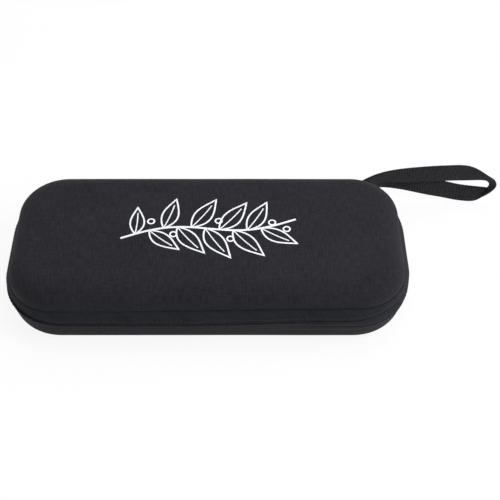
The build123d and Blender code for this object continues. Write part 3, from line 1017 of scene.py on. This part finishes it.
trimLow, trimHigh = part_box("pocket_trim")
hemLow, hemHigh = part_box("pocket_hem")
netLow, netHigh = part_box("pocket_net")
pocketLook = {
    "trimWidth": 5.0 * mm,
    "trimRound": 0.2 * mm,
    "trimRadius": 27.7 * mm,
    "stitchInset": 1.0 * mm,
    "stitchProud": 0.05 * mm,
    "hoopSteps": (14, 24, 60),  # side, corner, back
    "netRadius": 25.2 * mm,
    "netGap": 0.3 * mm,
    "cell": 4.4 * mm,
    "yarn": 0.62 * mm,
    "netSway": 0.03 * mm,
    "hemRadius": 27.6 * mm,
    "hemGap": 0.1 * mm,
    "gatherPitch": 3.6 * mm,
    "gatherDepth": 0.22 * mm,
    "gatherWander": 1.4,
    "hemSink": 0.24 * mm,
    "hemColumns": 560,
    "hemStitchEnd": 4 * mm,
    "hemStitchInset": 1.2 * mm,
    "hemStitchSink": 0.06 * mm,
}


def hoopPoints(inset, radius, lowestY):
    # Up the left side from lowestY, along the back and down the right side
    side, corner, back = pocketLook["hoopSteps"]
    wide, deep = halfLength - inset, halfDepth - inset
    cx, cy = wide - radius, deep - radius

    def bend(centreX, first):
        angles = [math.radians(first - 90 * i / corner) for i in range(corner)]
        return [(centreX + radius * math.cos(angle), cy + radius * math.sin(angle)) for angle in angles]

    points = [(-wide, mixed(lowestY, cy, i / side)) for i in range(side)] + bend(-cx, 180)
    points += [(mixed(-cx, cx, i / back), deep) for i in range(back)] + bend(cx, 90)
    return points + [(wide, mixed(cy, lowestY, i / side)) for i in range(side + 1)]


def makePocketTrim():
    look = pocketLook
    outer = halfLength - trimHigh.x
    wide, low, high = look["trimWidth"], trimLow.z, trimHigh.z
    rounded = wide - look["trimRound"]
    section = [(0, high), (wide * 0.5, high), (rounded, high), (wide, mixed(low, high, 0.5)),
               (rounded, low), (wide * 0.5, low), (0, low)]
    rows, flats = [], []
    for inset, height in section:
        hoop = hoopPoints(outer + inset, look["trimRadius"] - inset, trimLow.y)
        rows.append([Vector((x, y, height)) for x, y in hoop])
        flats.append([(run, inset) for run in runsOf(hoop)])
    trim = skinObject("pocketTrim", rows, flats, closedSection=True, capped=True)
    finishSkin(trim, ribbonFabric, "lid", "pocket_trim")
    lines = []
    for inset in (look["stitchInset"], wide - look["stitchInset"]):
        hoop = hoopPoints(outer + inset, look["trimRadius"] - inset, trimLow.y + look["stitchInset"])
        lines.append([Vector((x, y, low - look["stitchProud"])) for x, y in hoop])
    repeatAlong("pocketTrimStitches", stitchTree, lines, seamStitches, threadYarn, "lid")


def insideHoop(x, y, wide, deep, radius):
    if y < netLow.y or y > deep or abs(x) > wide:
        return False
    cornerX, cornerY = abs(x) - (wide - radius), y - (deep - radius)
    return cornerX <= 0 or cornerY <= 0 or math.hypot(cornerX, cornerY) <= radius


def makePocketNet():
    # Knotted six-sided net: from each knot three yarns to its neighbours
    look = pocketLook
    cell, side = look["cell"], look["cell"] / math.sqrt(3)
    wide, deep = netHigh.x - look["netGap"], netHigh.y - look["netGap"]
    middle = (netLow.z + netHigh.z) / 2

    def knot(x, y):
        return Vector((x, y, middle + look["netSway"] * noise.noise(Vector((x * 60, y * 60, 4)))))

    lines, columns = [], math.ceil(wide / cell) + 1
    for j in range(math.floor(netLow.y / (1.5 * side)), math.ceil(deep / (1.5 * side)) + 1):
        for i in range(-columns, columns + 1):
            x, y = (i + 0.5 * (j % 2)) * cell, j * 1.5 * side
            if not insideHoop(x, y, wide, deep, look["netRadius"]):
                continue
            for dx, dy in ((0, side), (-cell / 2, -side / 2), (cell / 2, -side / 2)):
                if insideHoop(x + dx, y + dy, wide, deep, look["netRadius"]):
                    lines.append([knot(x, y), knot(x + dx, y + dy)])
    repeatAlong("pocketNet", cordTree, lines, {"Thread": look["yarn"]}, netYarn, "lid", ["pocket_net"])


def makePocketHem():
    # Elastic with its cloth gathered on it in small folds
    look = pocketLook
    width, thick = hemHigh.y - hemLow.y, hemHigh.z - hemLow.z
    straightY = halfDepth - (halfLength - hemHigh.x) - look["hemRadius"]
    upper = [(0, 0.5), (0.02, 0.8), (0.08, 1), (0.3, 1), (0.5, 1), (0.7, 1), (0.92, 1), (0.98, 0.8), (1, 0.5)]
    section = upper + [(a, 1 - b) for a, b in upper[-2:0:-1]]
    rows, flats = [], []
    for (a, b), across in zip(section, runsOf([(a * width, b * thick) for a, b in section])):
        y = hemLow.y + a * width
        below = max(0.0, -y - straightY)
        reach = hemHigh.x - look["hemRadius"] + math.sqrt(look["hemRadius"] ** 2 - below**2) - look["hemGap"]
        row, flat = [], []
        for i in range(look["hemColumns"] + 1):
            x = mixed(-reach, reach, i / look["hemColumns"])
            wander = look["gatherWander"] * noise.noise(Vector((x * 90, a * 1.5, 2)))
            fold = look["gatherDepth"] * math.sin(2 * math.pi * x / look["gatherPitch"] + wander)
            flatness = 4 * a * (1 - a)
            z = mixed(hemLow.z + look["hemSink"], hemHigh.z - look["hemSink"], b)
            z += fold * (0.35 + 0.65 * flatness)
            row.append(Vector((x, y, z)))
            flat.append((x, across))
        rows.append(row)
        flats.append(flat)
    hem = skinObject("pocketHem", rows, flats, closedSection=True, capped=True)
    finishSkin(hem, elasticFabric, "lid", "pocket_hem")
    end = look["hemStitchEnd"]
    line = lineAcross(hemLow.x + end, hemHigh.x - end, hemHigh.y - look["hemStitchInset"],
                      hemLow.z + look["hemStitchSink"], 60)
    repeatAlong("pocketHemStitches", stitchTree, [line], seamStitches, threadYarn, "lid")


makePocketTrim()
makePocketNet()
makePocketHem()
print("pocket made")

bandLow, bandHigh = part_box("holding_band")
bandLook = {
    "ribs": 15,
    "ribDepth": 0.16 * mm,
    "columns": 90,
    "sink": 0.25 * mm,
    "stitchRows": (3 * mm, 5.4 * mm),  # from each end
    "mergeWithin": 0.001 * mm,
}


def makeHoldingBand():
    look = bandLook
    steps = look["ribs"] * 6
    wide = bandHigh.x - bandLow.x
    section = [(0, 0.5)]
    for i in range(steps + 1):
        share = i / steps
        rib = look["ribDepth"] * (abs(math.sin(math.pi * share * look["ribs"])) - 1)
        section.append((0.01 + 0.98 * share, 1 + rib / (bandHigh.z - bandLow.z)))
    section.append((1, 0.5))
    section += [(a, 1 - b) for a, b in section[-2:0:-1]]
    ys = [mixed(bandLow.y + look["sink"], bandHigh.y - look["sink"], i / look["columns"])
          for i in range(look["columns"] + 1)]
    rows, flats = [], []
    for a, b in section:
        x, z = bandLow.x + a * wide, mixed(bandLow.z, bandHigh.z, b)
        rows.append([Vector((x, y, z)) for y in ys])
        flats.append([(y, a * wide) for y in ys])
    band = skinObject("holdingBand", rows, flats, closedSection=True, capped=True)
    finishSkin(band, elasticFabric, "base", "holding_band", look["mergeWithin"])
    far = look["stitchRows"]
    stitched = [bandLow.y + gap for gap in far] + [bandHigh.y - gap for gap in far]
    lines = [lineAcross(bandLow.x + 2 * mm, bandHigh.x - 2 * mm, y, bandHigh.z, 12) for y in stitched]
    repeatAlong("holdingBandStitches", stitchTree, lines, seamStitches, threadYarn, "base")


makeHoldingBand()
print("holding band made")


webbingLook = {
    "width": 16.5 * mm,
    "thickness": 1.3 * mm,
    "ribPitch": webbingWeave["ribPitch"],
    "ribDepth": 0.2 * mm,
    "ribPoints": 6,
    "edgeRound": 0.5 * mm,
    "acrossSteps": 8,
}
loopStations = [
    # one edge of the webbing, then the other: out along the upper run and back along the lower
    ((86, 62.0, 9.1), (86, 62.0, 25.6)),
    ((94, 62.0, 9.1), (94, 62.0, 25.6)),
    ((101.5, 62.3, 9.4), (101.5, 62.2, 25.9)),
    ((112, 68.2, 15.6), (112, 65.0, 31.8)),
    ((123.4, 72.4, 20.8), (123.4, 66.6, 36.4)),
    ((140, 72.75, 21.2), (140, 69.9, 37.4)),
    ((168, 72.7, 22.6), (168, 71.2, 39.0)),
    ((186, 72.6, 23.2), (187, 70.8, 38.6)),
    ((199.5, 74.8, 21.6), (201.3, 65.3, 32.7)),
    ((204.8, 77.5, 16.5), (205.9, 66.0, 27.6)),
    ((205.8, 77.5, 13.0), (207.0, 67.5, 20.6)),
    ((204.0, 75.5, 12.8), (202.6, 70.5, 10.0)),
    ((200.5, 73.6, 15.0), (195.5, 73.6, 1.0)),
    ((184, 74.6, 16.6), (184, 73.4, 1.6)),
    ((170, 74.9, 20.3), (170, 74.3, 4.3)),
    ((158.9, 76.0, 22.6), (158.9, 74.8, 6.4)),
    ((139, 77.4, 27.4), (139, 75.7, 11)),
    ((123.8, 72.4, 27.9), (123.8, 76.3, 12.2)),
    ((112, 68.6, 27.7), (112, 70.6, 11.6)),
    ((101.5, 63.9, 25.8), (101.5, 63.9, 9.3)),
    ((94, 63.55, 25.6), (94, 63.55, 9.1)),
    ((86, 63.55, 25.6), (86, 63.55, 9.1)),
]


def betweenStations(before, here, there, after, share):
    # A smooth line through four neighbours, read at a share of the middle leg
    slope = (there - before) * 0.5
    bend = before - here * 2.5 + there * 2.0 - after * 0.5
    twist = (here - there) * 1.5 + (after - before) * 0.5
    return here + slope * share + bend * share**2 + twist * share**3


def loopEdges(steps):
    edges = []
    for side in (0, 1):
        points = [Vector(station[side]) * mm for station in loopStations]
        padded = [points[0]] + points + [points[-1]]
        line = []
        for i in range(1, len(padded) - 2):
            for k in range(steps):
                line.append(betweenStations(*padded[i - 1:i + 3], k / steps))
        edges.append(line + [points[-1]])
    return edges


def evenPairs(first, second, step):
    # The same pairs of edge points, spaced evenly along the middle of the webbing
    runs = [0.0]
    for i in range(1, len(first)):
        runs.append(runs[-1] + ((first[i] + second[i]) / 2 - (first[i - 1] + second[i - 1]) / 2).length)
    count = round(runs[-1] / step)
    pairs, i = [], 0
    for k in range(count + 1):
        run = runs[-1] * k / count
        while i < len(runs) - 2 and runs[i + 1] < run:
            i += 1
        share = (run - runs[i]) / (runs[i + 1] - runs[i])
        pairs.append((first[i].lerp(first[i + 1], share), second[i].lerp(second[i + 1], share)))
    return pairs, runs[-1]


def webbingSection():
    # (share across the width, out of the middle) round the flat section
    half, edge = webbingLook["thickness"] / 2, webbingLook["edgeRound"] / webbingLook["width"]
    section = [(0, 0), (edge * 0.35, half * 0.75), (edge, half)]
    steps = webbingLook["acrossSteps"]
    section += [(mixed(edge, 1 - edge, i / steps), half) for i in range(1, steps)]
    section += [(1 - edge, half), (1 - edge * 0.35, half * 0.75), (1, 0)]
    return section + [(a, -b) for a, b in section[-2:0:-1]]


def bendWithLoop(piece, material, node):
    # Gives the piece its material, bakes its place into the mesh and hides the frame's part
    piece.data.materials.clear()
    piece.data.materials.append(material)
    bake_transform(piece)
    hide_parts(node)


def makeWebbing():
    look = webbingLook
    first, second = loopEdges(24)
    pairs, length = evenPairs(first, second, look["ribPitch"] / look["ribPoints"])
    section = webbingSection()
    rows, flats = [[] for spot in section], [[] for spot in section]
    for i, (low, high) in enumerate(pairs):
        before, after = pairs[max(0, i - 1)], pairs[min(len(pairs) - 1, i + 1)]
        along = (after[0] + after[1] - before[0] - before[1]).normalized()
        across = (high - low).normalized()
        out = across.cross(along).normalized()
        run = length * i / (len(pairs) - 1)
        rib = look["ribDepth"] * (abs(math.sin(math.pi * i / look["ribPoints"])) - 0.6)
        for k, (share, aside) in enumerate(section):
            inside = smooth(min(share, 1 - share) / 0.07)
            grow = math.copysign(rib * inside, aside) if aside else 0
            rows[k].append(low.lerp(high, share) + out * (aside + grow))
            flats[k].append((run, (share if aside >= 0 else -share) * look["width"]))
    piece = skinObject("strapWebbing", rows, flats, closedSection=True, capped=True)
    mendMesh(piece, 0.002 * mm)
    bendWithLoop(piece, webbingFabric, "strap_webbing")
    print("webbing length in mm", round(length / mm, 1))


makeWebbing()

patchLow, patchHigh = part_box("strap_patch")
barLow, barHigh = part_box("strap_bartack")
rootLook = {
    "patchCorner": 2.0 * mm,
    "patchBevel": 0.25 * mm,
    "wallGap": 0.05 * mm,
    "barWidth": 1.5 * mm,
    "barSway": 0.05 * mm,
    "barShort": 0.3 * mm,
    "zigs": 22,
    "thread": 0.34 * mm,
}


def patchOutline(inset):
    low, high, corner = patchLow, patchHigh, rootLook["patchCorner"] - inset
    points = []
    left, right = low.x + inset + corner, high.x - inset - corner
    bottom, top = low.z + inset + corner, high.z - inset - corner
    for cx, cz, first in ((right, top, 0), (left, top, 90), (left, bottom, 180), (right, bottom, 270)):
        for i in range(7):
            angle = math.radians(first + 15 * i)
            points.append((cx + corner * math.cos(angle), cz + corner * math.sin(angle)))
    return points


def makePatch():
    # A thick piece of cover cloth that fills the wedge between the sloping wall and the webbing
    outer, bevelled = patchOutline(0), patchOutline(rootLook["patchBevel"])

    def wallY(z):
        return halfDepth - baseInset - (baseRim - z) * math.tan(sides["base"]["draft"]) + rootLook["wallGap"]

    centreX, centreZ = (patchLow.x + patchHigh.x) / 2, (patchLow.z + patchHigh.z) / 2
    backing = [(mixed(x, centreX, 0.9), mixed(z, centreZ, 0.9)) for x, z in outer]
    rows = [[Vector((x, wallY(z), z)) for x, z in outer],
            [Vector((x, patchHigh.y - rootLook["patchBevel"], z)) for x, z in outer],
            [Vector((x, patchHigh.y, z)) for x, z in bevelled]]
    for share in (0.3, 0.6, 0.9):
        inner = [(mixed(x, centreX, share), mixed(z, centreZ, share)) for x, z in bevelled]
        rows.append([Vector((x, patchHigh.y, z)) for x, z in inner])
    rows.insert(0, [Vector((x, wallY(z), z)) for x, z in backing])
    rows = [row + [row[0]] for row in rows]
    flats = [[(p.x, p.z) for p in row] for row in rows]
    patch = skinObject("strapPatch", rows, flats, closedRows=True)

    def closeMiddle(work):
        bmesh.ops.holes_fill(work, edges=[edge for edge in work.edges if edge.is_boundary], sides=0)
        bmesh.ops.recalc_face_normals(work, faces=work.faces)

    editMesh(patch.data, closeMiddle)
    dress(patch, caseFabric, "base", ["strap_patch"])


def makeBartacks():
    # Dense zigzag bars through both layers of the webbing, seen on the outer one
    look = rootLook
    lines, surface = [], (barLow.y + barHigh.y) / 2
    half, sway, short = look["barWidth"] / 2, look["barSway"], look["barShort"]
    for x in (barLow.x + half + sway, barHigh.x - half - sway):
        zigzag = []
        for i in range(look["zigs"] + 1):
            z = mixed(barLow.z + short, barHigh.z - short, i / look["zigs"])
            zigzag.append(Vector((x + half * (1 if i % 2 else -1), surface + sway * (i % 2), z)))
        lines.append(zigzag)
    threads = repeatAlong("strapBartack", cordTree, lines, {"Thread": look["thread"]}, threadYarn)
    bendWithLoop(threads, threadYarn, "strap_bartack")


makePatch()
makeBartacks()
print("hand loop made")


printLook = {
    "stemWidth": 1.5 * mm,
    "veinWidth": 0.8 * mm,
    "outlineWidth": 1.1 * mm,
    "stemFrom": (-57, -9),
    "stemTo": (59, 8),
    "stemSway": 5.0,
    "leafPairs": 5,
    "leafLength": 31.0,
    "leafWidth": 12.0,
    "leafLean": 62.0,
    "leafBend": 0.12,
    "berryRadius": 2.2,
    "berryTurn": 34,
    "berryReach": 0.62,
    "lift": 0.03 * mm,
    "thickness": 0.10 * mm,
}


def lidSurface(x, y):
    spot = placeLid(x * mm, y * mm, lidTop)
    return Vector((x * mm, y * mm, spot.z + printLook["lift"]))


def strokeInto(vertices, faces, line, width, closed=False):
    # A flat stroke of ink along a line of (x, y) in millimetres, laid on the lid
    first, count = len(vertices), len(line)
    for i, (x, y) in enumerate(line):
        before = line[i - 1] if i or closed else line[i]
        after = line[(i + 1) % count] if i < count - 1 or closed else line[i]
        length = math.dist(before, after) or 1
        dx, dy = (after[0] - before[0]) / length, (after[1] - before[1]) / length
        half = width / 2 / mm
        vertices.append(lidSurface(x - dy * half, y + dx * half))
        vertices.append(lidSurface(x + dy * half, y - dx * half))
    for i in range(count if closed else count - 1):
        a, b = first + 2 * i, first + 2 * ((i + 1) % count)
        faces.append((a, a + 1, b + 1, b))


def stemSpot(share):
    (x0, y0), (x1, y1) = printLook["stemFrom"], printLook["stemTo"]
    sway = printLook["stemSway"] * math.sin(2 * math.pi * share)
    return mixed(x0, x1, share), mixed(y0, y1, share) + sway


def leafLines(root, heading, length, width):
    # A pointed leaf from its root, with its middle vein a little curved
    def spot(share, out):
        along, across = share * length, out + printLook["leafBend"] * length * share**2
        return (root[0] + along * math.cos(heading) - across * math.sin(heading),
                root[1] + along * math.sin(heading) + across * math.cos(heading))

    outline = []
    for side in (1, -1):
        for i in range(16):
            share = i / 16 if side > 0 else 1 - i / 16
            outline.append(spot(share, side * width / 2 * math.sin(math.pi * share**0.8) ** 1.15))
    return outline, [spot(0.78 * i / 11, 0) for i in range(12)]


def makePrint():
    look = printLook
    vertices, faces = [], []
    strokeInto(vertices, faces, [stemSpot(i / 90) for i in range(91)], look["stemWidth"])
    for k in range(look["leafPairs"]):
        for side in (1, -1):
            share = 0.08 + 0.80 * (k + (0.5 if side < 0 else 0)) / look["leafPairs"]
            root, ahead = stemSpot(share), stemSpot(share + 0.01)
            stemHeading = math.atan2(ahead[1] - root[1], ahead[0] - root[0])
            heading = stemHeading + side * math.radians(look["leafLean"] - 3 * k)
            size = 0.72 + 0.28 * math.sin(math.pi * share)
            outline, vein = leafLines(root, heading, look["leafLength"] * size, look["leafWidth"] * size)
            strokeInto(vertices, faces, outline, look["outlineWidth"], True)
            strokeInto(vertices, faces, vein, look["veinWidth"])
            if k % 2 == 0:
                reach, radius = look["leafLength"] * size * look["berryReach"], look["berryRadius"]
                turn = heading - side * math.radians(look["berryTurn"])
                cx, cy = root[0] + reach * math.cos(turn), root[1] + reach * math.sin(turn)
                turns = [math.radians(20 * i) for i in range(18)]
                ring = [(cx + radius * math.cos(angle), cy + radius * math.sin(angle)) for angle in turns]
                strokeInto(vertices, faces, ring, look["outlineWidth"], True)
    mesh = bpy.data.meshes.new("lidPrint")
    mesh.from_pydata(vertices, [], faces)

    def faceUp(work):
        bmesh.ops.recalc_face_normals(work, faces=work.faces)
        bmesh.ops.reverse_faces(work, faces=[face for face in work.faces if face.normal.z < 0])

    editMesh(mesh, faceUp)
    ink = addObject("lidPrint", mesh)
    giveThickness(ink, look["thickness"], 1)
    dress(ink, printInk, "lid")


makePrint()
print("print made")


for name, material in (
    ("base_teeth", toothPlastic),
    ("lid_teeth", toothPlastic),
    ("base_shell", foamMaterial),
    ("lid_shell", foamMaterial),
    ("slider_body", sliderMetal),
    ("puller", sliderMetal),
):
    nodes[name].data.materials.clear()
    nodes[name].data.materials.append(material)
print("teeth, foam and slider finished")


studio = {
    "floorSize": 6.0,
    "floorColour": (0.86, 0.86, 0.86),
    "worldStrength": 0.5,
    "floorWhite": 0.88,
}


def makeFloor():
    half = studio["floorSize"] / 2
    mesh = bpy.data.meshes.new("floor")
    corners = [(-half, -half, 0), (half, -half, 0), (half, half, 0), (-half, half, 0)]
    mesh.from_pydata(corners, [], [(0, 1, 2, 3)])
    floor = addObject("floor", mesh)
    material, tree, shader = startMaterial("floorPaper", studio["floorColour"], 0.9)
    shader.inputs["Specular IOR Level"].default_value = 0.0
    glow = addNode(tree, "ShaderNodeEmission")
    path = addNode(tree, "ShaderNodeLightPath")
    seen = calculate(tree, "MAXIMUM", path.outputs["Is Camera Ray"], path.outputs["Is Glossy Ray"])
    seen = calculate(tree, "MAXIMUM", seen, path.outputs["Is Transmission Ray"])
    blend = addNode(tree, "ShaderNodeMixShader")
    wire(tree, calculate(tree, "MULTIPLY", seen, studio["floorWhite"]), blend.inputs[0])
    wire(tree, shader.outputs[0], blend.inputs[1])
    wire(tree, glow.outputs[0], blend.inputs[2])
    wire(tree, blend.outputs[0], tree.nodes["Material Output"].inputs["Surface"])
    mesh.materials.append(material)


def makeWorld():
    world = bpy.data.worlds.new("studio")
    scene.world = world
    world.use_nodes = True
    tree = world.node_tree
    background = tree.nodes["Background"]
    background.inputs["Color"].default_value = (1, 1, 1, 1)
    path = addNode(tree, "ShaderNodeLightPath")
    seen = calculate(tree, "MAXIMUM", path.outputs["Is Camera Ray"], path.outputs["Is Transmission Ray"])
    strength = addNode(tree, "ShaderNodeMapRange", **{"To Min": studio["worldStrength"], "To Max": 1.0})
    wire(tree, seen, strength.inputs["Value"])
    wire(tree, strength.outputs[0], background.inputs["Strength"])


lamps = [
    # name, place, target, size, power
    ("overhead", (0.1, 0.5, 1.2), (0, 0, 0.03), 1.0, 6.5),
    ("frontLeft", (-0.9, -1.1, 0.9), (0, 0, 0.03), 0.9, 1.0),
    ("rightSide", (0.7, -0.25, 0.8), (0.05, 0, 0.03), 0.6, 8),
]


def makeLamps():
    for name, place, target, size, power in lamps:
        light = bpy.data.lights.new(name, "AREA")
        light.energy = power
        light.size = size
        lamp = addObject(name, light)
        lamp.location = place
        lamp.rotation_euler = (Vector(target) - Vector(place)).to_track_quat("-Z", "Y").to_euler()


view = {
    "elevation": math.radians(48.46),
    "distance": 709.09 * mm,
    "target": Vector((28.4, 2.73, 25.0)) * mm,
    "focalPixels": 1035.52,
    "imagePixels": 500,
    "sensor": 36.0,
}


def makeCamera():
    data = bpy.data.cameras.new("camera")
    data.sensor_width = view["sensor"]
    data.lens = view["focalPixels"] / view["imagePixels"] * view["sensor"]
    data.clip_start = 0.01
    camera = addObject("camera", data)
    back = Vector((0, -math.cos(view["elevation"]), math.sin(view["elevation"])))
    camera.location = view["target"] + back * view["distance"]
    camera.rotation_euler = (-back).to_track_quat("-Z", "Y").to_euler()
    scene.camera = camera


makeFloor()
makeWorld()
makeLamps()
makeCamera()
scene.view_settings.view_transform = "Standard"
print("room, lamps and camera made")

print("finishing")
